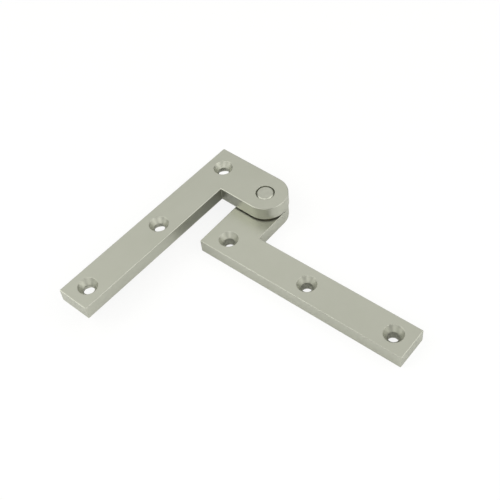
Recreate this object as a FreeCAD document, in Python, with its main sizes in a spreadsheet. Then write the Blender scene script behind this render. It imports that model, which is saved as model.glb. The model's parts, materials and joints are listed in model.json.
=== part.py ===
"""Offset pivot hinge with two L-shaped leaves that turn past each other on one pin.

Frame: millimetres, +Z up. The origin is on the pin's axis, in the plane of the lower leaf's
underside. +X runs along the lower leaf's arm. The upper leaf lies one gap above the lower leaf
and is turned about the pin by the opening angle.

Both leaves share one outline. A leg with a round end carries the pin, and a long arm at right
angles to it carries the screws.
"""

import FreeCAD, Part
import os
import Sketcher

# Driving dimensions in millimetres and degrees: alias, value, meaning.
SIZES = (
    ("leaf_length", 98.4, "arm length over both ends"),
    ("arm_width", 15.3, "width of the arm that takes the screws"),
    ("leg_width", 19.3, "width of the leg, and diameter of its round end"),
    ("pivot_offset", 32.1, "pin axis to the arm's outer edge"),
    ("pin_aside", 0.25, "leg's centre line to the pin axis, towards the free end"),
    ("leaf_thick", 6.35, "thickness of each leaf"),
    ("leaf_gap", 0.8, "space between the leaves, filled by the washer"),
    ("edge_round", 0.3, "polished rounding of every leaf edge"),
    ("open_angle", -91.4, "turn of the upper leaf from the closed position"),
    ("screw_hole", 4.6, "diameter of a screw hole"),
    ("sink_diameter", 8.3, "diameter of a countersink at the face"),
    ("sink_angle", 75.0, "included angle of a countersink"),
    ("start_margin", 9.2, "first screw to the arm's end under the leg"),
    ("end_margin", 8.3, "last screw to the arm's free end"),
    ("screw_count", 3, "screws in each leaf, evenly spaced"),
    ("pin_diameter", 8.0, "diameter of the pivot pin"),
    ("pin_chamfer", 0.5, "chamfer of the pin's ends"),
    ("pin_recess", 0.2, "depth of the pin's lower end inside the lower leaf"),
    ("pin_play", 0.05, "radial running clearance round the pin"),
    ("washer_diameter", 16.0, "outer diameter of the thrust washer"),
)

PARTS_FOLDER = "parts"


def make_sheet(doc):
    """Put every driving dimension into an aliased cell."""
    sheet = doc.addObject("Spreadsheet::Sheet", "Sizes")
    for row, (alias, value, meaning) in enumerate(SIZES, start=1):
        sheet.set(f"A{row}", alias)
        sheet.set(f"B{row}", str(value))
        sheet.set(f"C{row}", meaning)
        sheet.setAlias(f"B{row}", alias)
    doc.recompute()
    return sheet


def make_body(doc, label):
    """Start an empty body whose label names the sub-part."""
    body = doc.addObject("PartDesign::Body", label)
    body.Label = label
    return body


def origin_plane(body, role):
    """Find one of the body's own origin planes or axes by its role."""
    return next(item for item in body.Origin.OriginFeatures if item.Role == role)


def flat_sketch(body, name, height=None):
    """Add a sketch parallel to the body's XY plane, at the height that an expression gives."""
    sketch = body.newObject("Sketcher::SketchObject", name)
    sketch.AttachmentSupport = [(origin_plane(body, "XY_Plane"), "")]
    sketch.MapMode = "FlatFace"
    if height:
        sketch.setExpression("AttachmentOffset.Base.z", height)
    return sketch


def drive(sketch, name, constraint, formula):
    """Add a dimension to a sketch, name it and bind it to the sheet."""
    index = sketch.addConstraint(constraint)
    sketch.renameConstraint(index, name)
    sketch.setExpression(f"Constraints.{name}", formula)


def circle_sketch(body, name, diameter, height=None):
    """Add a sketch with one circle about the body's own axis."""
    sketch = flat_sketch(body, name, height)
    vertical = FreeCAD.Vector(0, 0, 1)
    circle = sketch.addGeometry(Part.Circle(FreeCAD.Vector(0, 0, 0), vertical, 1.0))
    sketch.addConstraint(Sketcher.Constraint("Coincident", circle, 3, -1, 1))
    drive(sketch, "diameter", Sketcher.Constraint("Diameter", circle, 2.0), diameter)
    return sketch


def outline_sketch(body, sheet):
    """Draw the leaf seen from above: five straight edges and the half round of the pivot end."""
    half_leg = sheet.leg_width / 2
    near = -sheet.pin_aside - half_leg
    far = near + sheet.leg_width
    tip = near + sheet.leaf_length
    outer = -sheet.pivot_offset
    inner = outer + sheet.arm_width
    corners = [
        FreeCAD.Vector(near, 0, 0),
        FreeCAD.Vector(near, outer, 0),
        FreeCAD.Vector(tip, outer, 0),
        FreeCAD.Vector(tip, inner, 0),
        FreeCAD.Vector(far, inner, 0),
        FreeCAD.Vector(far, 0, 0),
    ]
    sketch = flat_sketch(body, f"{body.Label}_outline")
    sides = [
        sketch.addGeometry(Part.LineSegment(start, end))
        for start, end in zip(corners, corners[1:])
    ]
    top = FreeCAD.Vector(-sheet.pin_aside, half_leg, 0)
    end_round = sketch.addGeometry(Part.Arc(corners[-1], top, corners[0]))
    for side, following in zip(sides, sides[1:]):
        sketch.addConstraint(Sketcher.Constraint("Coincident", side, 2, following, 1))
    for index, side in enumerate(sides):
        direction = "Horizontal" if index % 2 else "Vertical"
        sketch.addConstraint(Sketcher.Constraint(direction, side))
    back_side, free_end, leg_side = sides[0], sides[2], sides[4]
    sketch.addConstraint(Sketcher.Constraint("Tangent", leg_side, 2, end_round, 1))
    sketch.addConstraint(Sketcher.Constraint("Tangent", end_round, 2, back_side, 1))
    sketch.addConstraint(Sketcher.Constraint("PointOnObject", end_round, 3, -1))
    drive(
        sketch,
        "pin_aside",
        Sketcher.Constraint("DistanceX", end_round, 3, -1, 1, sheet.pin_aside),
        "Sizes.pin_aside",
    )
    drive(
        sketch,
        "leg_radius",
        Sketcher.Constraint("Radius", end_round, half_leg),
        "Sizes.leg_width / 2",
    )
    drive(
        sketch,
        "arm_length",
        Sketcher.Constraint("DistanceX", sides[1], 1, sides[1], 2, sheet.leaf_length),
        "Sizes.leaf_length",
    )
    drive(
        sketch,
        "arm_width",
        Sketcher.Constraint("DistanceY", free_end, 1, free_end, 2, sheet.arm_width),
        "Sizes.arm_width",
    )
    drive(
        sketch,
        "pivot_offset",
        Sketcher.Constraint("DistanceY", back_side, 2, -1, 1, sheet.pivot_offset),
        "Sizes.pivot_offset",
    )
    return sketch


def add_pad(body, sketch, name, length):
    """Raise a sketch by the length that an expression gives."""
    pad = body.newObject("PartDesign::Pad", name)
    pad.Profile = sketch
    pad.setExpression("Length", length)
    return pad


def add_screw_row(doc, body, name, height, upwards):
    """Drill one countersunk screw hole from a face, and repeat it along the arm."""
    sketch = flat_sketch(body, f"{name}_centre", height)
    vertical = FreeCAD.Vector(0, 0, 1)
    circle = sketch.addGeometry(Part.Circle(FreeCAD.Vector(1, -1, 0), vertical, 1.0))
    drive(sketch, "diameter", Sketcher.Constraint("Diameter", circle, 2.0), "Sizes.screw_hole")
    drive(
        sketch,
        "from_axis",
        Sketcher.Constraint("DistanceY", circle, 3, -1, 1, 1.0),
        "Sizes.pivot_offset - Sizes.arm_width / 2",
    )
    drive(
        sketch,
        "along_arm",
        Sketcher.Constraint("DistanceX", -1, 1, circle, 3, 1.0),
        "Sizes.leaf_length - Sizes.leg_width / 2 - Sizes.pin_aside - Sizes.end_margin",
    )
    doc.recompute()
    hole = body.newObject("PartDesign::Hole", name)
    hole.Profile = sketch
    hole.ThreadType = "None"
    hole.DepthType = "ThroughAll"
    hole.HoleCutType = "Countersink"
    hole.HoleCutCustomValues = True
    hole.Reversed = upwards
    hole.setExpression("Diameter", "Sizes.screw_hole")
    hole.setExpression("HoleCutDiameter", "Sizes.sink_diameter")
    hole.setExpression("HoleCutCountersinkAngle", "Sizes.sink_angle")
    doc.recompute()
    row = body.newObject("PartDesign::LinearPattern", f"{name}_row")
    row.Originals = [hole]
    row.Direction = (origin_plane(body, "X_Axis"), [""])
    row.Reversed = True
    row.setExpression("Length", "Sizes.leaf_length - Sizes.start_margin - Sizes.end_margin")
    row.setExpression("Occurrences", "Sizes.screw_count")
    body.Tip = row
    doc.recompute()
    return row


def make_leaf(doc, sheet, label, bore_diameter):
    """Make a leaf with rounded edges, its pivot bore and its row of screws."""
    body = make_body(doc, label)
    outline = outline_sketch(body, sheet)
    plate = add_pad(body, outline, f"{label}_plate", "Sizes.leaf_thick")
    doc.recompute()
    edges = body.newObject("PartDesign::Fillet", f"{label}_edges")
    edges.Base = (plate, [""])
    edges.UseAllEdges = True
    edges.setExpression("Radius", "Sizes.edge_round")
    doc.recompute()
    bore_sketch = circle_sketch(body, f"{label}_bore_circle", bore_diameter)
    bore = body.newObject("PartDesign::Pocket", f"{label}_bore")
    bore.Profile = bore_sketch
    bore.Type = "ThroughAll"
    bore.Reversed = True
    doc.recompute()
    add_screw_row(doc, body, f"{label}_screw", "Sizes.leaf_thick", upwards=False)
    return body


def make_lower_leaf(doc, sheet):
    """Make the leaf that holds the pin fast and has its countersinks on the pin's side."""
    return make_leaf(doc, sheet, "lower_leaf", "Sizes.pin_diameter")


def make_upper_leaf(doc, sheet):
    """Make the leaf that turns on the pin and takes screws from either face."""
    bore_diameter = "Sizes.pin_diameter + 2 * Sizes.pin_play"
    body = make_leaf(doc, sheet, "upper_leaf", bore_diameter)
    add_screw_row(doc, body, "upper_leaf_under_screw", None, upwards=True)
    body.setExpression("Placement.Base.z", "Sizes.leaf_thick + Sizes.leaf_gap")
    body.setExpression("Placement.Rotation.Angle", "Sizes.open_angle")
    return body


def make_pivot_pin(doc):
    """Make the pin, flush with the upper leaf, with both ends chamfered."""
    body = make_body(doc, "pivot_pin")
    circle = circle_sketch(body, "pivot_pin_circle", "Sizes.pin_diameter")
    length = "2 * Sizes.leaf_thick + Sizes.leaf_gap - Sizes.pin_recess"
    shank = add_pad(body, circle, "pivot_pin_shank", length)
    doc.recompute()
    ends = body.newObject("PartDesign::Chamfer", "pivot_pin_ends")
    ends.Base = (shank, [""])
    ends.UseAllEdges = True
    ends.setExpression("Size", "Sizes.pin_chamfer")
    body.setExpression("Placement.Base.z", "Sizes.pin_recess")
    return body


def make_thrust_washer(doc):
    """Make the washer that carries the upper leaf and fills the gap between the leaves."""
    body = make_body(doc, "thrust_washer")
    disc_circle = circle_sketch(body, "thrust_washer_circle", "Sizes.washer_diameter")
    add_pad(body, disc_circle, "thrust_washer_disc", "Sizes.leaf_gap")
    doc.recompute()
    eye_diameter = "Sizes.pin_diameter + 2 * Sizes.pin_play"
    eye_circle = circle_sketch(body, "thrust_washer_eye_circle", eye_diameter)
    eye = body.newObject("PartDesign::Pocket", "thrust_washer_eye")
    eye.Profile = eye_circle
    eye.Type = "ThroughAll"
    eye.Reversed = True
    body.setExpression("Placement.Base.z", "Sizes.leaf_thick")
    return body


def check_document(doc, bodies):
    """Stop if an object failed to build or a sub-part isn't one valid solid."""
    for item in doc.Objects:
        if "Invalid" in item.State or "Error" in item.State:
            raise RuntimeError(f"{item.Name} failed: {item.State}")
    for body in bodies:
        if body.Shape.isNull() or not body.Shape.isValid():
            raise RuntimeError(f"{body.Label} has no valid shape")
        if len(body.Shape.Solids) != 1:
            raise RuntimeError(f"{body.Label} has {len(body.Shape.Solids)} solids")


def write_parts(bodies):
    """Write each sub-part to a STEP file named after its label."""
    os.makedirs(PARTS_FOLDER, exist_ok=True)
    for body in bodies:
        body.Shape.exportStep(f"{PARTS_FOLDER}/{body.Label}.step")
        print(f"{body.Label}: {body.Shape.Volume:.1f} mm3, {body.Shape.BoundBox}")


def main():
    """Build the hinge and write its parts."""
    doc = FreeCAD.newDocument("pivot_hinge")
    sheet = make_sheet(doc)
    bodies = [
        make_lower_leaf(doc, sheet),
        make_upper_leaf(doc, sheet),
        make_pivot_pin(doc),
        make_thrust_washer(doc),
    ]
    doc.recompute()
    check_document(doc, bodies)
    write_parts(bodies)


main()
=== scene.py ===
"""Offset pivot hinge in satin nickel: two leaves, the pin they turn on and the washer between them.

Everything is in metres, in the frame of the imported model: the origin is on the pin's axis in the
plane of the lower leaf's underside, +Z runs up the pin and +X along the lower leaf's arm.
"""

import json
import logging
import math
from dataclasses import dataclass
from enum import Enum
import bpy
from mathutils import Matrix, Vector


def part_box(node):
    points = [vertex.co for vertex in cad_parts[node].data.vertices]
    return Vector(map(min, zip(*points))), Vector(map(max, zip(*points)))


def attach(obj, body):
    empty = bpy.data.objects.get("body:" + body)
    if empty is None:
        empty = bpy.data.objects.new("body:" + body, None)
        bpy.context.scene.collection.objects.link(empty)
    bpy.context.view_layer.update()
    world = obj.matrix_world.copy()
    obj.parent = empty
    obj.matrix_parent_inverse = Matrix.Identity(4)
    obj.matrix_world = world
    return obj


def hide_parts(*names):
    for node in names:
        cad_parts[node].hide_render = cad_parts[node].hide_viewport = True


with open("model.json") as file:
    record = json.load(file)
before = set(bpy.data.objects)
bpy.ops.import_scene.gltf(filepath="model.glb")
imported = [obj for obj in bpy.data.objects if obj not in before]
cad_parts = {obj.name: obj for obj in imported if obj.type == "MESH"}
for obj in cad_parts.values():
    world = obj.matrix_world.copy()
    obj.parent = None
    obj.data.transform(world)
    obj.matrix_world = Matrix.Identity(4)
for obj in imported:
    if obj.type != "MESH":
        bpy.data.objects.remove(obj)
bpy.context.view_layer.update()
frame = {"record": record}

from types import TracebackType
from typing import Any, Callable, NamedTuple, Optional, Sequence

import bmesh
import bpy
from mathutils import Vector

MILLIMETRE = 0.001
MICROMETRE = 0.000001
CUTTER_OVERSHOOT = 1.0 * MILLIMETRE
SHARP_FOLD = math.radians(25.0)

Colour = tuple[float, float, float]
Point = tuple[float, float, float]
Shares = tuple[float, ...]

WHITE: Colour = (1.0, 1.0, 1.0)
LIGHT_COLOUR: Colour = (1.0, 1.0, 0.94)

log = logging.getLogger("hinge")


class Element(Enum):
    """What an edit tool picks, named as Blender's select mode names it."""

    EDGE = "EDGE"
    FACE = "FACE"


class Sinking(Enum):
    """The faces of a leaf that its screw holes are countersunk from."""

    TOP = "top"
    BOTH = "both"


class Ring(NamedTuple):
    """One ring of a turned form."""

    height: float
    radius: float


def alone(piece: bpy.types.Object) -> None:
    """Select one piece and nothing else.

    Args:
        piece: The object that the next operators work on.
    """
    bpy.ops.object.select_all(action="DESELECT")
    piece.select_set(True)
    bpy.context.view_layer.objects.active = piece


def settle(piece: bpy.types.Object) -> None:
    """Move a piece's place, turn and scale into its mesh.

    Args:
        piece: The object whose own transform becomes the identity.
    """
    alone(piece)
    bpy.ops.object.transform_apply(location=True, rotation=True, scale=True)


def newest(name: str) -> bpy.types.Object:
    """Name the primitive that was added last and put its place in its mesh.

    Args:
        name: The name for the object and its mesh.

    Returns:
        The object of the new primitive.
    """
    piece = bpy.context.active_object
    piece.name = name
    piece.data.name = name
    settle(piece)
    return piece


class Bench:
    """Edit mode on one piece, with its faces and edges picked by place or normal."""

    LEVEL_ANGLE = math.radians(0.5)

    def __init__(self, piece: bpy.types.Object) -> None:
        """Take the piece that the edit tools will shape.

        Args:
            piece: A mesh object.
        """
        self.piece = piece

    def __enter__(self) -> "Bench":
        """Enter edit mode with the whole mesh selected.

        Returns:
            The bench itself.
        """
        alone(self.piece)
        bpy.ops.object.mode_set(mode="EDIT")
        bpy.ops.mesh.select_all(action="SELECT")
        return self

    def __exit__(
        self,
        kind: Optional[type[BaseException]],
        error: Optional[BaseException],
        trace: Optional[TracebackType],
    ) -> None:
        """Go back to object mode.

        Args:
            kind: The kind of an error that ended the work, if any.
            error: That error.
            trace: Where it came from.
        """
        bpy.ops.object.mode_set(mode="OBJECT")

    def pick(self, element: Element, wanted: Callable[[Any], bool]) -> None:
        """Select the faces or edges that pass a test.

        Args:
            element: Whether faces or edges are tested.
            wanted: The test, given one face or edge of the edit mesh.
        """
        bpy.ops.mesh.select_mode(type=element.value)
        bpy.ops.mesh.select_all(action="DESELECT")
        mesh = bmesh.from_edit_mesh(self.piece.data)
        stock = mesh.edges if element is Element.EDGE else mesh.faces
        for item in stock:
            if wanted(item):
                item.select_set(True)
        mesh.select_flush_mode()
        bmesh.update_edit_mesh(self.piece.data)

    def tidy(self, reach: float) -> None:
        """Merge doubles, join level faces and turn every face outwards.

        Args:
            reach: How close two corners are to count as one.
        """
        bpy.ops.mesh.select_all(action="SELECT")
        bpy.ops.mesh.remove_doubles(threshold=reach)
        bpy.ops.mesh.dissolve_limited(angle_limit=self.LEVEL_ANGLE)
        bpy.ops.mesh.select_all(action="SELECT")
        bpy.ops.mesh.normals_make_consistent(inside=False)


def turn_form(name: str, centre: Vector, rings: Sequence[Ring], segments: int) -> bpy.types.Object:
    """Raise a turned form from a filled circle, ring by ring.

    Args:
        name: The name of the form.
        centre: A point on its axis, whose height isn't used.
        rings: The rings from the lowest to the highest.
        segments: Sides of the circle.

    Returns:
        The closed form.
    """
    foot = rings[0]
    bpy.ops.mesh.primitive_circle_add(
        vertices=segments,
        radius=foot.radius,
        fill_type="NGON",
        location=(centre.x, centre.y, foot.height),
    )
    form = newest(name)
    with Bench(form) as bench:
        for below, above in zip(rings, rings[1:]):
            rise = above.height - below.height
            widening = above.radius / below.radius
            bpy.ops.mesh.extrude_region_move(TRANSFORM_OT_translate={"value": (0.0, 0.0, rise)})
            bpy.ops.transform.resize(
                value=(widening, widening, 1.0),
                center_override=(centre.x, centre.y, above.height),
            )
        bench.tidy(reach=MICROMETRE)
    return form


def cut_away(piece: bpy.types.Object, cutter: bpy.types.Object) -> None:
    """Cut one form out of a piece and clear the form away.

    Args:
        piece: The piece that loses material.
        cutter: The closed form of what is lost.
    """
    alone(piece)
    cut = piece.modifiers.new("cut", "BOOLEAN")
    cut.operation = "DIFFERENCE"
    cut.solver = "EXACT"
    cut.object = cutter
    bpy.ops.object.modifier_apply(modifier=cut.name)
    bpy.data.meshes.remove(cutter.data)


def round_edges(
    piece: bpy.types.Object, radius: float, steps: int, share: Callable[[Any], float]
) -> None:
    """Round the sharp edges of a piece, each by its own share of a radius.

    Args:
        piece: The piece to soften.
        radius: The rounding of an edge whose share is one.
        steps: Facets across the rounding.
        share: Gives an edge's share of the radius, from nought to one.
    """
    alone(piece)
    bpy.ops.object.shade_smooth()
    mesh = bmesh.new()
    mesh.from_mesh(piece.data)
    weights = mesh.edges.layers.float.new("bevel_weight_edge")
    for edge in mesh.edges:
        edge[weights] = share(edge)
    mesh.to_mesh(piece.data)
    mesh.free()
    softening = piece.modifiers.new("softening", "BEVEL")
    softening.limit_method = "WEIGHT"
    softening.width = radius
    softening.segments = steps
    softening.harden_normals = True
    softening.use_clamp_overlap = False
    bpy.ops.object.modifier_apply(modifier=softening.name)


def is_sharp(edge: Any) -> bool:
    """Tell whether an edge folds by more than the sides of a round form do."""
    return edge.is_manifold and edge.calc_face_angle() > SHARP_FOLD


def sharp_share(edge: Any) -> float:
    """Give a sharp edge its whole rounding and a smooth one none."""
    return float(is_sharp(edge))


def middle(edge: Any) -> Vector:
    """Return the middle of an edit mesh's edge."""
    return (edge.verts[0].co + edge.verts[1].co) / 2


def off_axis(point: Vector, axis: Vector) -> float:
    """Return the distance of a point from an upright axis, seen from above."""
    return (point.xy - axis.xy).length


def mount(name: str) -> dict[str, Any]:
    """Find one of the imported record's mounts.

    Args:
        name: The mount's name.

    Returns:
        The mount as the record holds it.
    """
    return next(item for item in frame["record"]["mounts"] if item["name"] == name)


class Shading:
    """A node tree that grows from left to right."""

    STEP = 200.0
    FIRST_COLOUR, SECOND_COLOUR, MIXED_COLOUR = 6, 7, 2
    NOISE_LOW, NOISE_HIGH = 0.3, 0.7

    def __init__(self, tree: bpy.types.NodeTree) -> None:
        """Take an empty node tree.

        Args:
            tree: The tree of a material, of the world or of a group.
        """
        self.tree = tree
        self.column = 0.0

    def add(self, kind: str, **settings: Any) -> bpy.types.Node:
        """Add a node to the right of the last one.

        Args:
            kind: The node's type.
            **settings: Properties to set on the node.

        Returns:
            The new node.
        """
        node = self.tree.nodes.new(kind)
        for setting, value in settings.items():
            setattr(node, setting, value)
        node.location = (self.column, 0.0)
        self.column += self.STEP
        return node

    def feed(self, node: bpy.types.Node, socket: Any, source: Any) -> None:
        """Give an input either a fixed value or another node's output.

        Args:
            node: The node that is fed.
            socket: The input's name or number.
            source: A number, a tuple or an output socket.
        """
        if isinstance(source, bpy.types.NodeSocket):
            self.tree.links.new(source, node.inputs[socket])
        else:
            node.inputs[socket].default_value = source

    def math(self, operation: str, first: Any, second: Any = 0.0) -> bpy.types.NodeSocket:
        """Add a Math node.

        Args:
            operation: The name of the operation.
            first: Its first value or socket.
            second: Its second value or socket.

        Returns:
            The result's socket.
        """
        node = self.add("ShaderNodeMath", operation=operation)
        self.feed(node, 0, first)
        self.feed(node, 1, second)
        return node.outputs["Value"]

    def blend(self, factor: Any, first: Any, second: Any) -> bpy.types.NodeSocket:
        """Mix two colours.

        Args:
            factor: How much of the second colour.
            first: A colour or socket.
            second: A colour or socket.

        Returns:
            The mixed colour's socket.
        """
        node = self.add("ShaderNodeMix", data_type="RGBA")
        self.feed(node, "Factor", factor)
        self.feed(node, self.FIRST_COLOUR, (*first, 1.0) if isinstance(first, tuple) else first)
        self.feed(node, self.SECOND_COLOUR, (*second, 1.0) if isinstance(second, tuple) else second)
        return node.outputs[self.MIXED_COLOUR]

    def span(self, value: Any, lowest: float, highest: float) -> bpy.types.NodeSocket:
        """Stretch a mask from nought to one over another range.

        Args:
            value: The mask's socket.
            lowest: The result at nought.
            highest: The result at one.

        Returns:
            The stretched value's socket.
        """
        node = self.add("ShaderNodeMapRange")
        self.feed(node, "Value", value)
        self.feed(node, "To Min", lowest)
        self.feed(node, "To Max", highest)
        return node.outputs["Result"]

    def noise(self, place: Any, scale: float, detail: float) -> bpy.types.NodeSocket:
        """Add smooth noise, stretched to fill the range from nought to one.

        Args:
            place: The socket with the point to read the noise at.
            scale: Features for each metre.
            detail: Octaves of finer noise.

        Returns:
            The noise's socket.
        """
        node = self.add("ShaderNodeTexNoise")
        self.feed(node, "Vector", place)
        self.feed(node, "Scale", scale)
        self.feed(node, "Detail", detail)
        stretch = self.add("ShaderNodeMapRange")
        self.feed(stretch, "Value", node.outputs["Fac"])
        self.feed(stretch, "From Min", self.NOISE_LOW)
        self.feed(stretch, "From Max", self.NOISE_HIGH)
        return stretch.outputs["Result"]

    def weigh(self, *parts: tuple[Any, float]) -> bpy.types.NodeSocket:
        """Add up masks, each with its own weight.

        Args:
            *parts: Each mask's socket and its weight.

        Returns:
            The sum's socket.
        """
        total, *others = [self.math("MULTIPLY", mask, weight) for mask, weight in parts]
        for other in others:
            total = self.math("ADD", total, other)
        return total

    def choose(self, factor: Any, first: Any, second: Any) -> bpy.types.NodeSocket:
        """Mix two shaders.

        Args:
            factor: How much of the second shader.
            first: A shader's socket.
            second: A shader's socket.

        Returns:
            The mixed shader's socket.
        """
        node = self.add("ShaderNodeMixShader")
        for socket, source in enumerate((factor, first, second)):
            self.feed(node, socket, source)
        return node.outputs["Shader"]


def start_material(name: str) -> tuple[bpy.types.Material, Shading]:
    """Start a material with no nodes.

    Args:
        name: The material's name.

    Returns:
        The material and its shading.
    """
    material = bpy.data.materials.new(name)
    material.use_nodes = True
    material.node_tree.nodes.clear()
    return material, Shading(material.node_tree)


def finish_metal(shading: Shading, colour: Any, roughness: Any, height: Any, relief: float) -> None:
    """Bring a metal material's nodes to their end.

    Args:
        shading: The material's shading.
        colour: The metal's colour.
        roughness: Its roughness.
        height: A mask of the fine marks that stand out of it.
        relief: How far they stand out.
    """
    bump = shading.add("ShaderNodeBump")
    shading.feed(bump, "Height", height)
    shading.feed(bump, "Distance", relief)
    metal = shading.add("ShaderNodeBsdfPrincipled")
    shading.feed(metal, "Metallic", 1.0)
    shading.feed(metal, "Base Color", colour)
    shading.feed(metal, "Roughness", roughness)
    shading.feed(metal, "Normal", bump.outputs["Normal"])
    output = shading.add("ShaderNodeOutputMaterial")
    shading.feed(output, "Surface", metal.outputs["BSDF"])


def start_group(
    name: str, inputs: dict[str, str], outputs: dict[str, str]
) -> tuple[Shading, bpy.types.Node, bpy.types.Node]:
    """Start a node group with named sockets.

    Args:
        name: The group's name.
        inputs: Each input's name and socket type.
        outputs: Each output's name and socket type.

    Returns:
        The group's shading, its input node and its output node.
    """
    tree = bpy.data.node_groups.new(name, "ShaderNodeTree")
    for label, kind in inputs.items():
        tree.interface.new_socket(name=label, in_out="INPUT", socket_type=kind)
    for label, kind in outputs.items():
        tree.interface.new_socket(name=label, in_out="OUTPUT", socket_type=kind)
    shading = Shading(tree)
    entry = shading.add("NodeGroupInput")
    leave = tree.nodes.new("NodeGroupOutput")
    return shading, entry, leave


class Effects:
    """The surface effects that several finishes share, each a node group built once."""

    def __init__(self) -> None:
        """Build every group."""
        self.brushing = self.build_brushing()
        self.clouds = self.build_clouds()
        self.edge_sheen_polish = self.build_edge_sheen_polish()
        self.turning = self.build_turning()
        self.scuffs = self.build_scuffs()

    @staticmethod
    def build_brushing() -> bpy.types.NodeTree:
        """Build fine lines along a leaf's arm, as a belt leaves them.

        Returns:
            A group whose Lines output runs from nought to one.
        """
        lines_along, lines_across = 90.0, 6500.0
        shading, entry, leave = start_group(
            "brushing",
            {"Vector": "NodeSocketVector", "Turn": "NodeSocketFloat"},
            {"Lines": "NodeSocketFloat"},
        )
        turn = shading.add("ShaderNodeVectorRotate", rotation_type="Z_AXIS", invert=True)
        shading.feed(turn, "Vector", entry.outputs["Vector"])
        shading.feed(turn, "Angle", entry.outputs["Turn"])
        stretch = shading.add("ShaderNodeVectorMath", operation="MULTIPLY")
        shading.feed(stretch, 0, turn.outputs["Vector"])
        shading.feed(stretch, 1, (lines_along, lines_across, lines_across))
        lines = shading.noise(stretch.outputs["Vector"], scale=1.0, detail=3.0)
        shading.feed(leave, "Lines", lines)
        return shading.tree

    @staticmethod
    def build_clouds() -> bpy.types.NodeTree:
        """Build the faint mottling of a plated surface.

        Returns:
            A group with a Broad and a Fine mask.
        """
        broad_scale, fine_scale = 70.0, 420.0
        shading, entry, leave = start_group(
            "clouds",
            {"Vector": "NodeSocketVector"},
            {"Broad": "NodeSocketFloat", "Fine": "NodeSocketFloat"},
        )
        place = entry.outputs["Vector"]
        shading.feed(leave, "Broad", shading.noise(place, broad_scale, detail=2.0))
        shading.feed(leave, "Fine", shading.noise(place, fine_scale, detail=4.0))
        return shading.tree

    @staticmethod
    def build_edge_sheen_polish() -> bpy.types.NodeTree:
        """Build a mask of the roundings between level faces and upright walls, for their painted sheen
        and polish.

        Returns:
            A group whose Mask output is one where the normal leans by half a right angle.
        """
        peaks_to_one = 4.0
        shading, entry, leave = start_group(
            "edge_sheen_polish", {"Normal": "NodeSocketVector"}, {"Mask": "NodeSocketFloat"}
        )
        axes = shading.add("ShaderNodeSeparateXYZ")
        shading.feed(axes, "Vector", entry.outputs["Normal"])
        upright = shading.math("MULTIPLY", axes.outputs["Z"], axes.outputs["Z"])
        level = shading.math("SUBTRACT", 1.0, upright)
        product = shading.math("MULTIPLY", upright, level)
        shading.feed(leave, "Mask", shading.math("MULTIPLY", product, peaks_to_one))
        return shading.tree

    @staticmethod
    def build_turning() -> bpy.types.NodeTree:
        """Build the fine rings that a cutter leaves about an upright axis.

        Returns:
            A group that reads a distance and gives a Rings mask.
        """
        rings_per_metre = 9000.0
        shading, entry, leave = start_group(
            "turning", {"Distance": "NodeSocketFloat"}, {"Rings": "NodeSocketFloat"}
        )
        steps = shading.math("MULTIPLY", entry.outputs["Distance"], rings_per_metre)
        place = shading.add("ShaderNodeCombineXYZ")
        shading.feed(place, "X", steps)
        rings = shading.noise(place.outputs["Vector"], scale=1.0, detail=2.0)
        shading.feed(leave, "Rings", rings)
        return shading.tree

    @staticmethod
    def build_scuffs() -> bpy.types.NodeTree:
        """Build sparse hair scratches that cross the brushing.

        Returns:
            A group whose Mask output is one on a scratch.
        """
        along, across, threshold = 260.0, 9000.0, 0.74
        lean = math.radians(31.0)
        shading, entry, leave = start_group(
            "scuffs",
            {"Vector": "NodeSocketVector", "Turn": "NodeSocketFloat"},
            {"Mask": "NodeSocketFloat"},
        )
        angle = shading.math("ADD", entry.outputs["Turn"], lean)
        turn = shading.add("ShaderNodeVectorRotate", rotation_type="Z_AXIS", invert=True)
        shading.feed(turn, "Vector", entry.outputs["Vector"])
        shading.feed(turn, "Angle", angle)
        stretch = shading.add("ShaderNodeVectorMath", operation="MULTIPLY")
        shading.feed(stretch, 0, turn.outputs["Vector"])
        shading.feed(stretch, 1, (along, across, along))
        node = shading.add("ShaderNodeTexNoise")
        shading.feed(node, "Vector", stretch.outputs["Vector"])
        shading.feed(node, "Scale", 1.0)
        shading.feed(node, "Detail", 1.0)
        shading.feed(leave, "Mask", shading.math("GREATER_THAN", node.outputs["Fac"], threshold))
        return shading.tree


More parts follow.
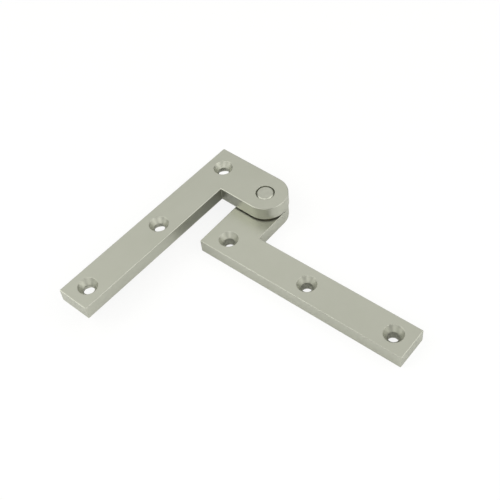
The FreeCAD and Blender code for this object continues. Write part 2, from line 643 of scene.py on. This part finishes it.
@dataclass(frozen=True)
class SatinNickel:
    """Nickel plate on a belt-brushed leaf, smoother along its edges, which carry a painted sheen that
    makes them a little brighter.

    Attributes:
        name: The material's name.
        turn: The direction of the brushing, from the +X axis.
        deep: The plate's colour where the mottling is darkest.
        bright: Its colour where the mottling is lightest.
        edge: Its colour on the roundings, a painted sheen.
        smooth: Roughness of the rubbed roundings.
        satin: Roughness of the brushed faces at their smoothest.
        coarse: Roughness of the brushed faces at their roughest.
        relief: Depth of the brushing.
        tones: Shares of the broad mottling, the fine mottling and the lines in the colour.
        streaks: Shares of the lines and the fine mottling in the roughness.
        scratching: How much a scratch smooths the brushing.
    """

    name: str
    turn: float
    deep: Colour = (0.448, 0.456, 0.402)
    bright: Colour = (0.478, 0.484, 0.434)
    edge: Colour = (0.500, 0.505, 0.458)
    smooth: float = 0.32
    satin: float = 0.34
    coarse: float = 0.42
    relief: float = 0.6 * MICROMETRE
    tones: Shares = (0.5, 0.2, 0.3)
    streaks: Shares = (0.6, 0.4)
    scratching: float = 0.5

    def build(self, effects: Effects) -> bpy.types.Material:
        """Make the material.

        Args:
            effects: The shared node groups.

        Returns:
            The finished material.
        """
        material, shading = start_material(self.name)
        place = shading.add("ShaderNodeTexCoord")
        brushing = shading.add("ShaderNodeGroup", node_tree=effects.brushing)
        shading.feed(brushing, "Vector", place.outputs["Object"])
        shading.feed(brushing, "Turn", self.turn)
        clouds = shading.add("ShaderNodeGroup", node_tree=effects.clouds)
        shading.feed(clouds, "Vector", place.outputs["Object"])
        scuffs = shading.add("ShaderNodeGroup", node_tree=effects.scuffs)
        shading.feed(scuffs, "Vector", place.outputs["Object"])
        shading.feed(scuffs, "Turn", self.turn)
        sheen_polish = shading.add("ShaderNodeGroup", node_tree=effects.edge_sheen_polish)
        shading.feed(sheen_polish, "Normal", place.outputs["Normal"])
        lines, sheen_and_wear, scratch = brushing.outputs["Lines"], sheen_polish.outputs["Mask"], scuffs.outputs["Mask"]
        broad, fine = clouds.outputs["Broad"], clouds.outputs["Fine"]

        tone = shading.weigh(*zip((broad, fine, lines), self.tones))
        plate = shading.blend(tone, self.deep, self.bright)
        # Painted sheen: the roundings get a brighter colour from the lean of their normal alone, not from
        # any lamp.
        colour = shading.blend(sheen_and_wear, plate, self.edge)

        streaks = shading.weigh(*zip((lines, fine), self.streaks))
        brushed = shading.span(streaks, self.satin, self.coarse)
        worn = shading.math("MAXIMUM", sheen_and_wear, shading.math("MULTIPLY", scratch, self.scratching))
        unworn = shading.math("SUBTRACT", 1.0, worn)
        kept = shading.math("MULTIPLY", brushed, unworn)
        roughness = shading.math("ADD", kept, shading.math("MULTIPLY", worn, self.smooth))
        height = shading.math("MULTIPLY", lines, unworn)
        finish_metal(shading, colour, roughness, height, self.relief)
        return material


@dataclass(frozen=True)
class TurnedMetal:
    """Metal with fine rings about an upright axis, as drills, countersinks and lathes leave it.

    Attributes:
        name: The material's name.
        deep: Its colour in the rings' valleys.
        bright: Its colour on their crests.
        smooth: Roughness on the crests.
        coarse: Roughness in the valleys.
        relief: Depth of the rings.
        across: How much of the rings' distance is taken outwards from the origin's axis.
        upwards: How much of it is taken upwards.
        tones: Shares of the rings and the fine mottling in the colour and the roughness.
    """

    name: str
    deep: Colour
    bright: Colour
    smooth: float
    coarse: float
    relief: float = 0.8 * MICROMETRE
    across: float = 0.0
    upwards: float = 1.0
    tones: Shares = (0.6, 0.4)

    def build(self, effects: Effects) -> bpy.types.Material:
        """Make the material.

        Args:
            effects: The shared node groups.

        Returns:
            The finished material.
        """
        material, shading = start_material(self.name)
        place = shading.add("ShaderNodeTexCoord")
        axes = shading.add("ShaderNodeSeparateXYZ")
        shading.feed(axes, "Vector", place.outputs["Object"])
        flat = shading.add("ShaderNodeVectorMath", operation="MULTIPLY")
        shading.feed(flat, 0, place.outputs["Object"])
        shading.feed(flat, 1, (self.across, self.across, 0.0))
        outwards = shading.add("ShaderNodeVectorMath", operation="LENGTH")
        shading.feed(outwards, 0, flat.outputs["Vector"])
        rise = shading.math("MULTIPLY", axes.outputs["Z"], self.upwards)
        distance = shading.math("ADD", rise, outwards.outputs["Value"])
        turning = shading.add("ShaderNodeGroup", node_tree=effects.turning)
        shading.feed(turning, "Distance", distance)
        clouds = shading.add("ShaderNodeGroup", node_tree=effects.clouds)
        shading.feed(clouds, "Vector", place.outputs["Object"])
        rings, fine = turning.outputs["Rings"], clouds.outputs["Fine"]
        tone = shading.weigh(*zip((rings, fine), self.tones))
        colour = shading.blend(tone, self.deep, self.bright)
        roughness = shading.span(tone, self.coarse, self.smooth)
        finish_metal(shading, colour, roughness, rings, self.relief)
        return material


@dataclass
class Leaf:
    """One L-shaped leaf: a leg with a round end for the pin, and a long arm for the screws.

    Attributes:
        name: The piece's name.
        node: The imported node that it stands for.
        body: The body that it rides on.
        sinking: The faces that its screws are sunk from.
        turn: The leaf's turn about the pin's axis.
        half_leg: Half of the leg's width, and the radius of its round end.
        round_centre: Centre of the leg's round end, seen from the pin's axis.
        offset: Pin axis to the arm's outer edge.
        tip: Pin axis to the arm's free end.
        floor: Height of the leaf's underside.
        thick: The leaf's thickness.
        gap_level: Height of the face that looks at the other leaf.
        screw_middle: The middle screw, with the leaf unturned.
        screw_pitch: Distance between neighbouring screws.
        screw_radius: Radius of a screw hole.
        sink_depth: Depth of a countersink.
        sink_slope: Half of a countersink's angle.
        bore_radius: Radius of the pin's bore.
        edge_round: Rounding of the outline's edges.
        rim_round: Rounding of the screw holes' rims.
        bore_round: Rounding of the pin bore's rims.
        gap_round: Rounding of the leg's edges at the gap.
    """

    name: str
    node: str
    body: str
    sinking: Sinking
    turn: float
    half_leg: float
    round_centre: Vector
    offset: float
    tip: float
    floor: float
    thick: float
    gap_level: float
    screw_middle: Vector
    screw_pitch: float
    screw_radius: float
    sink_depth: float
    bore_radius: float
    sink_slope: float = math.radians(37.5)
    edge_round: float = 0.3 * MILLIMETRE
    rim_round: float = 0.12 * MILLIMETRE
    bore_round: float = 0.12 * MILLIMETRE
    gap_round: float = 0.10 * MILLIMETRE

    ROUND_SEGMENTS = 24
    ROUND_PROFILE = 0.5
    HOLE_SEGMENTS = 72
    EDGE_STEPS = 4
    RIM_REACH = 0.5 * MILLIMETRE
    LEVEL_FACE = 0.999
    DOUBLES = 10 * MICROMETRE

    @property
    def inner(self) -> float:
        """Return the place of the arm's inner edge along Y."""
        return 2 * self.screw_middle.y + self.offset

    @property
    def leg_end(self) -> float:
        """Return the place of the leg's end along Y."""
        return self.round_centre.y + self.half_leg

    @property
    def top(self) -> float:
        """Return the height of the leaf's top face."""
        return self.floor + self.thick

    @property
    def sink_radius(self) -> float:
        """Return the radius of a countersink at the face."""
        return self.screw_radius + self.sink_depth * math.tan(self.sink_slope)

    @property
    def screws(self) -> list[Vector]:
        """Return the axes of the three screws, with the leaf unturned."""
        step = Vector((self.screw_pitch, 0.0, 0.0))
        return [self.screw_middle + step * place for place in (-1, 0, 1)]

    def plate(self) -> bpy.types.Object:
        """Model the blank: the arm, the leg drawn out of it and the leg's round end.

        Returns:
            The blank, unturned.
        """
        low = Vector((self.round_centre.x - self.half_leg, -self.offset, self.floor))
        high = Vector((self.tip, self.inner, self.top))
        leg_side = self.round_centre.x + self.half_leg
        bpy.ops.mesh.primitive_cube_add(size=1.0, location=(low + high) / 2, scale=high - low)
        blank = newest(self.name)
        with Bench(blank) as bench:
            bpy.ops.mesh.bisect(plane_co=(leg_side, 0.0, 0.0), plane_no=(1.0, 0.0, 0.0))
            bench.pick(
                Element.FACE,
                lambda face: face.normal.y > self.LEVEL_FACE and face.calc_center_median().x < leg_side,
            )
            reach = self.leg_end - self.inner
            bpy.ops.mesh.extrude_region_move(TRANSFORM_OT_translate={"value": (0.0, reach, 0.0)})
            bench.pick(Element.EDGE, self.is_leg_corner)
            bpy.ops.mesh.bevel(
                offset=self.half_leg,
                offset_type="OFFSET",
                segments=self.ROUND_SEGMENTS,
                profile=self.ROUND_PROFILE,
                affect="EDGES",
                clamp_overlap=False,
            )
            bench.tidy(reach=self.DOUBLES)
        return blank

    def is_leg_corner(self, edge: Any) -> bool:
        """Tell whether an edge is one of the two upright corners at the leg's end."""
        upright = abs(edge.verts[0].co.z - edge.verts[1].co.z) > self.thick / 2
        return upright and middle(edge).y > self.leg_end - MICROMETRE

    def screw_cutter(self, axis: Vector) -> bpy.types.Object:
        """Model what a drill and a countersink take out for one screw.

        Args:
            axis: The screw's place.

        Returns:
            The closed form to cut away.
        """
        mouth = self.sink_radius + CUTTER_OVERSHOOT * math.tan(self.sink_slope)
        above = [
            Ring(self.top - self.sink_depth, self.screw_radius),
            Ring(self.top + CUTTER_OVERSHOOT, mouth),
        ]
        if self.sinking is Sinking.BOTH:
            below = [
                Ring(self.floor - CUTTER_OVERSHOOT, mouth),
                Ring(self.floor + self.sink_depth, self.screw_radius),
            ]
        else:
            below = [Ring(self.floor - CUTTER_OVERSHOOT, self.screw_radius)]
        return turn_form("screw_cutter", axis, below + above, self.HOLE_SEGMENTS)

    def bore_cutter(self) -> bpy.types.Object:
        """Model what the pin's bore takes out.

        Returns:
            The closed form to cut away.
        """
        rings = [
            Ring(self.floor - CUTTER_OVERSHOOT, self.bore_radius),
            Ring(self.top + CUTTER_OVERSHOOT, self.bore_radius),
        ]
        return turn_form("bore_cutter", Vector(), rings, self.HOLE_SEGMENTS)

    def is_in_bore(self, point: Vector) -> bool:
        """Tell whether a point of the unturned leaf lies in the pin's bore or near its rim."""
        return off_axis(point, Vector()) < self.bore_radius + self.RIM_REACH

    def is_in_hole(self, point: Vector) -> bool:
        """Tell whether a point of the unturned leaf lies in the bore or a screw hole, or near a rim."""
        reach = self.sink_radius + self.RIM_REACH
        return self.is_in_bore(point) or any(off_axis(point, axis) < reach for axis in self.screws)

    def is_at_gap(self, point: Vector) -> bool:
        """Tell whether a point lies at the gap, on the leg's free side or its round end."""
        on_leg = point.y > 0.0 or (point.y > self.inner and point.x > 0.0)
        return on_leg and abs(point.z - self.gap_level) < MICROMETRE

    def edge_share(self, edge: Any) -> float:
        """Give the share of the edge rounding that an edge takes.

        Args:
            edge: An edge of the drilled leaf.

        Returns:
            One on the outline, less on a hole's rim and at the gap, nought on a smooth edge.
        """
        if not is_sharp(edge):
            return 0.0
        if self.is_in_bore(middle(edge)):
            return self.bore_round / self.edge_round
        if self.is_in_hole(middle(edge)):
            return self.rim_round / self.edge_round
        if self.is_at_gap(middle(edge)):
            return self.gap_round / self.edge_round
        return 1.0

    def dress(
        self, leaf: bpy.types.Object, satin: bpy.types.Material, drilled: bpy.types.Material
    ) -> None:
        """Give the leaf its plating, and its holes their cutter marks.

        Args:
            leaf: The unturned leaf.
            satin: The finish of its outside.
            drilled: The finish inside its holes.
        """
        leaf.data.materials.append(satin)
        leaf.data.materials.append(drilled)
        for face in leaf.data.polygons:
            inside = self.is_in_hole(face.center)
            face.material_index = int(inside and abs(face.normal.z) < self.LEVEL_FACE)

    def build(self, satin: bpy.types.Material, drilled: bpy.types.Material) -> bpy.types.Object:
        """Model, drill, soften, dress and turn the leaf.

        Args:
            satin: The finish of its outside.
            drilled: The finish inside its holes.

        Returns:
            The finished leaf.
        """
        leaf = self.plate()
        for axis in self.screws:
            cut_away(leaf, self.screw_cutter(axis))
        cut_away(leaf, self.bore_cutter())
        round_edges(leaf, self.edge_round, self.EDGE_STEPS, self.edge_share)
        self.dress(leaf, satin, drilled)
        leaf.rotation_euler = (0.0, 0.0, self.turn)
        settle(leaf)
        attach(leaf, self.body)
        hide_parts(self.node)
        return leaf


@dataclass
class PivotPin:
    """The turned pin, pressed into the lower leaf and flush with the upper one.

    Attributes:
        radius: The pin's radius.
        floor: Height of its lower end.
        top: Height of its upper end.
        chamfer: Size of the chamfer at each end.
        softening: Rounding of the chamfer's edges.
    """

    radius: float
    floor: float
    top: float
    chamfer: float = 0.7 * MILLIMETRE
    softening: float = 0.08 * MILLIMETRE

    SEGMENTS = 96
    EDGE_STEPS = 2

    def build(self, turned: bpy.types.Material) -> bpy.types.Object:
        """Model and dress the pin.

        Args:
            turned: The pin's finish.

        Returns:
            The finished pin.
        """
        end_radius = self.radius - self.chamfer
        rings = [
            Ring(self.floor, end_radius),
            Ring(self.floor + self.chamfer, self.radius),
            Ring(self.top - self.chamfer, self.radius),
            Ring(self.top, end_radius),
        ]
        pin = turn_form("pivot_pin_turned", Vector(), rings, self.SEGMENTS)
        round_edges(pin, self.softening, self.EDGE_STEPS, sharp_share)
        pin.data.materials.append(turned)
        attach(pin, "lower")
        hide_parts("pivot_pin")
        return pin


@dataclass
class ThrustWasher:
    """The stamped washer that fills the gap between the leaves.

    Attributes:
        radius: Its outer radius.
        eye: Radius of its hole.
        floor: Height of its lower face.
        top: Height of its upper face.
        softening: Rounding of its edges.
    """

    radius: float
    eye: float
    floor: float
    top: float
    softening: float = 0.08 * MILLIMETRE

    SEGMENTS = 96
    EDGE_STEPS = 2

    def build(self, brass: bpy.types.Material) -> bpy.types.Object:
        """Model and dress the washer.

        Args:
            brass: The washer's finish.

        Returns:
            The finished washer.
        """
        disc = [Ring(self.floor, self.radius), Ring(self.top, self.radius)]
        hole = [
            Ring(self.floor - CUTTER_OVERSHOOT, self.eye),
            Ring(self.top + CUTTER_OVERSHOOT, self.eye),
        ]
        washer = turn_form("thrust_washer_stamped", Vector(), disc, self.SEGMENTS)
        cut_away(washer, turn_form("eye_cutter", Vector(), hole, self.SEGMENTS))
        round_edges(washer, self.softening, self.EDGE_STEPS, sharp_share)
        washer.data.materials.append(brass)
        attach(washer, "lower")
        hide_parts("thrust_washer")
        return washer


@dataclass
class Hinge:
    """The whole hinge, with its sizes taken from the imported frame.

    Attributes:
        leg_width: Width of a leaf's leg.
        play: Clearance round the pin, in the upper leaf and the washer.
    """

    leg_width: float = 19.3 * MILLIMETRE
    play: float = 0.05 * MILLIMETRE

    def leaf(
        self, name: str, body: str, sinking: Sinking, bore_radius: float, gap_level: float
    ) -> Leaf:
        """Read one leaf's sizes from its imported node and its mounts.

        Args:
            name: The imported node's name.
            body: The body that it rides on.
            sinking: The faces that its screws are sunk from.
            bore_radius: Radius of the pin's bore.
            gap_level: Height of the face that looks at the other leaf.

        Returns:
            The leaf, not yet built.
        """
        outline_low, outline_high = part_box("lower_leaf")
        low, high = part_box(name)
        unturned = Vector(mount("lower_leaf_screws")["pos_m"])
        placed = Vector(mount(f"{name}_screws")["pos_m"])
        turn = math.atan2(placed.y, placed.x) - math.atan2(unturned.y, unturned.x)
        holes = mount(f"{name}_screws")["dims"]
        thick = high.z - low.z
        half_leg = self.leg_width / 2
        neck = mount("lower_leaf_middle_screw")["dims"]["length_mm"] * MILLIMETRE
        return Leaf(
            name=f"{name}_plated",
            node=name,
            body=body,
            sinking=sinking,
            turn=turn,
            half_leg=half_leg,
            round_centre=Vector((outline_low.x + half_leg, outline_high.y - half_leg, 0.0)),
            offset=-outline_low.y,
            tip=outline_high.x,
            floor=low.z,
            thick=thick,
            gap_level=gap_level,
            screw_middle=Vector((unturned.x, unturned.y, 0.0)),
            screw_pitch=holes["pcd_mm"] / 2 * MILLIMETRE,
            screw_radius=holes["hole_r_mm"] * MILLIMETRE,
            sink_depth=thick - neck,
            bore_radius=bore_radius,
        )

    def build(self, effects: Effects) -> None:
        """Build and dress every piece.

        Args:
            effects: The shared node groups.
        """
        pin_low, pin_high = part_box("pivot_pin")
        washer_low, washer_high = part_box("thrust_washer")
        pin_radius = pin_high.x
        running_bore = pin_radius + self.play
        lower = self.leaf("lower_leaf", "lower", Sinking.TOP, pin_radius, washer_low.z)
        upper = self.leaf("upper_leaf", "upper", Sinking.BOTH, running_bore, washer_high.z)
        drilled = TurnedMetal(
            "drilled_nickel",
            deep=(0.425, 0.432, 0.379),
            bright=(0.540, 0.546, 0.495),
            smooth=0.42,
            coarse=0.52,
        ).build(effects)
        turned = TurnedMetal(
            "turned_pin",
            deep=(0.410, 0.417, 0.369),
            bright=(0.480, 0.486, 0.441),
            smooth=0.32,
            coarse=0.42,
            across=1.0,
            upwards=0.0,
        ).build(effects)
        brass = TurnedMetal(
            "stamped_brass",
            deep=(0.400, 0.330, 0.170),
            bright=(0.520, 0.430, 0.240),
            smooth=0.30,
            coarse=0.42,
            across=1.0,
        ).build(effects)
        for leaf in (lower, upper):
            satin = SatinNickel(f"satin_nickel_{leaf.body}", leaf.turn).build(effects)
            report(leaf.build(satin, drilled))
        pin = PivotPin(radius=pin_radius, floor=pin_low.z, top=pin_high.z)
        report(pin.build(turned))
        washer = ThrustWasher(
            radius=washer_high.x,
            eye=running_bore,
            floor=washer_low.z,
            top=washer_high.z,
        )
        report(washer.build(brass))


def report(piece: bpy.types.Object) -> None:
    """Log a finished piece with its triangles and any open edges.

    Args:
        piece: The finished piece.
    """
    mesh = bmesh.new()
    mesh.from_mesh(piece.data)
    open_edges = sum(not edge.is_manifold for edge in mesh.edges)
    triangles = sum(len(face.verts) - 2 for face in mesh.faces)
    mesh.free()
    log.info("%s: %d triangles, %d open edges", piece.name, triangles, open_edges)


@dataclass
class Softbox:
    """A rectangular lamp that faces the hinge.

    Attributes:
        name: The lamp's name.
        azimuth: Its direction from the hinge, in degrees from +X.
        elevation: Its height above the floor, in degrees.
        width: The length of its level sides.
        height: The length of its leaning sides.
        power: Its power in watts.
        colour: The colour of its light.
        distance: Its distance from the hinge.
    """

    name: str
    azimuth: float
    elevation: float
    width: float
    height: float
    power: float
    colour: Colour = LIGHT_COLOUR
    distance: float = 0.7

    def build(self) -> None:
        """Hang the lamp."""
        azimuth, elevation = math.radians(self.azimuth), math.radians(self.elevation)
        way = Vector(
            (
                math.cos(azimuth) * math.cos(elevation),
                math.sin(azimuth) * math.cos(elevation),
                math.sin(elevation),
            )
        )
        bpy.ops.object.light_add(type="AREA", location=way * self.distance)
        lamp = bpy.context.active_object
        lamp.name = self.name
        lamp.data.shape = "RECTANGLE"
        lamp.data.size = self.width
        lamp.data.size_y = self.height
        lamp.data.energy = self.power
        lamp.data.color = self.colour
        lamp.rotation_euler = way.to_track_quat("Z", "Y").to_euler()


@dataclass
class Studio:
    """A plain pale studio and the camera at the photograph's viewing angle.

    Attributes:
        camera_place: The camera's place.
        camera_turn: The camera's turn in degrees.
        lens: Focal length in millimetres, on a sensor 36 mm wide.
        floor_size: Side of the floor.
        floor_drop: How far the floor lies under the hinge, so that no faces coincide.
        floor_shade: Reflectance of the floor.
        seen_lift: How much of the floor's white the camera sees whatever the light.
        mirrored_lift: The same for what the metal mirrors.
        sky_level: The dome's level in its bright belt.
        crown_share: The share of that level straight above.
        belt_foot: Sine of the elevation where the dome starts to brighten.
        belt_low: Sine of the elevation where the bright belt starts.
        belt_high: Sine of the elevation where the bright belt ends.
        crown: Sine of the elevation where the dimmer crown starts.
        near: The nearest distance that the camera sees.
        far: The farthest distance that it sees.
    """

    camera_place: Point = (0.172747, -0.188978, 0.281382)
    camera_turn: Point = (39.866, 4.649, 38.992)
    lens: float = 63.065
    floor_size: float = 1.8
    floor_drop: float = 0.02 * MILLIMETRE
    floor_shade: float = 0.94
    seen_lift: float = 0.86
    mirrored_lift: float = 0.10
    sky_level: float = 1.20
    crown_share: float = 0.30
    belt_foot: float = 0.28
    belt_low: float = 0.70
    belt_high: float = 0.86
    crown: float = 0.95
    near: float = 0.01
    far: float = 20.0

    SOFTBOXES = (
        Softbox("left_softbox", azimuth=-133.0, elevation=38.0, width=0.46, height=0.80, power=1.80),
        Softbox("right_softbox", azimuth=22.0, elevation=32.0, width=0.80, height=0.62, power=1.90),
        Softbox("front_softbox", azimuth=-66.0, elevation=28.0, width=0.50, height=0.40, power=0.75),
    )

    def build_camera(self) -> None:
        """Set up the camera."""
        bpy.ops.object.camera_add(location=self.camera_place)
        camera = bpy.context.active_object
        camera.name = "camera"
        camera.rotation_euler = [math.radians(angle) for angle in self.camera_turn]
        camera.data.lens = self.lens
        camera.data.clip_start = self.near
        camera.data.clip_end = self.far
        bpy.context.scene.camera = camera

    def build_floor(self) -> None:
        """Lay the floor, white to the camera and dull enough to keep the hinge's shadow."""
        bpy.ops.mesh.primitive_plane_add(size=self.floor_size, location=(0.0, 0.0, -self.floor_drop))
        floor = newest("floor")
        material, shading = start_material("pale_floor")
        rays = shading.add("ShaderNodeLightPath").outputs
        mirrored = shading.math("MAXIMUM", rays["Is Glossy Ray"], rays["Is Transmission Ray"])
        lift = shading.weigh((rays["Is Camera Ray"], self.seen_lift), (mirrored, self.mirrored_lift))
        matt = shading.add("ShaderNodeBsdfDiffuse")
        shading.feed(matt, "Color", (self.floor_shade, self.floor_shade, self.floor_shade, 1.0))
        white = shading.add("ShaderNodeEmission")
        surface = shading.choose(lift, matt.outputs["BSDF"], white.outputs["Emission"])
        output = shading.add("ShaderNodeOutputMaterial")
        shading.feed(output, "Surface", surface)
        floor.data.materials.append(material)

    def build_sky(self) -> None:
        """Light the studio from a soft dome, brightest half way up and white to the camera."""
        world = bpy.data.worlds.new("studio_dome")
        bpy.context.scene.world = world
        world.use_nodes = True
        world.node_tree.nodes.clear()
        shading = Shading(world.node_tree)
        rays = shading.add("ShaderNodeLightPath")
        place = shading.add("ShaderNodeTexCoord")
        axes = shading.add("ShaderNodeSeparateXYZ")
        shading.feed(axes, "Vector", place.outputs["Generated"])
        rise = shading.add("ShaderNodeMapRange", interpolation_type="SMOOTHSTEP")
        shading.feed(rise, "Value", axes.outputs["Z"])
        shading.feed(rise, "From Min", self.belt_foot)
        shading.feed(rise, "From Max", self.belt_low)
        shading.feed(rise, "To Max", self.sky_level)
        fall = shading.add("ShaderNodeMapRange", interpolation_type="SMOOTHSTEP")
        shading.feed(fall, "Value", axes.outputs["Z"])
        shading.feed(fall, "From Min", self.belt_high)
        shading.feed(fall, "From Max", self.crown)
        shading.feed(fall, "To Min", 1.0)
        shading.feed(fall, "To Max", self.crown_share)
        belt = shading.math("MULTIPLY", rise.outputs["Result"], fall.outputs["Result"])
        dome = shading.add("ShaderNodeBackground")
        shading.feed(dome, "Color", (*LIGHT_COLOUR, 1.0))
        shading.feed(dome, "Strength", belt)
        backdrop = shading.add("ShaderNodeBackground")
        shading.feed(backdrop, "Color", (*WHITE, 1.0))
        seen = rays.outputs["Is Camera Ray"]
        surface = shading.choose(seen, dome.outputs["Background"], backdrop.outputs["Background"])
        output = shading.add("ShaderNodeOutputWorld")
        shading.feed(output, "Surface", surface)

    def build(self) -> None:
        """Set up the camera, the floor, the dome and the softboxes."""
        bpy.context.scene.view_settings.view_transform = "Standard"
        self.build_camera()
        self.build_floor()
        self.build_sky()
        for softbox in self.SOFTBOXES:
            softbox.build()


def main() -> None:
    """Build the studio and the hinge."""
    logging.basicConfig(level=logging.INFO, format="%(name)s: %(message)s")
    Studio().build()
    Hinge().build(Effects())


if __name__ == "__main__":
    main()
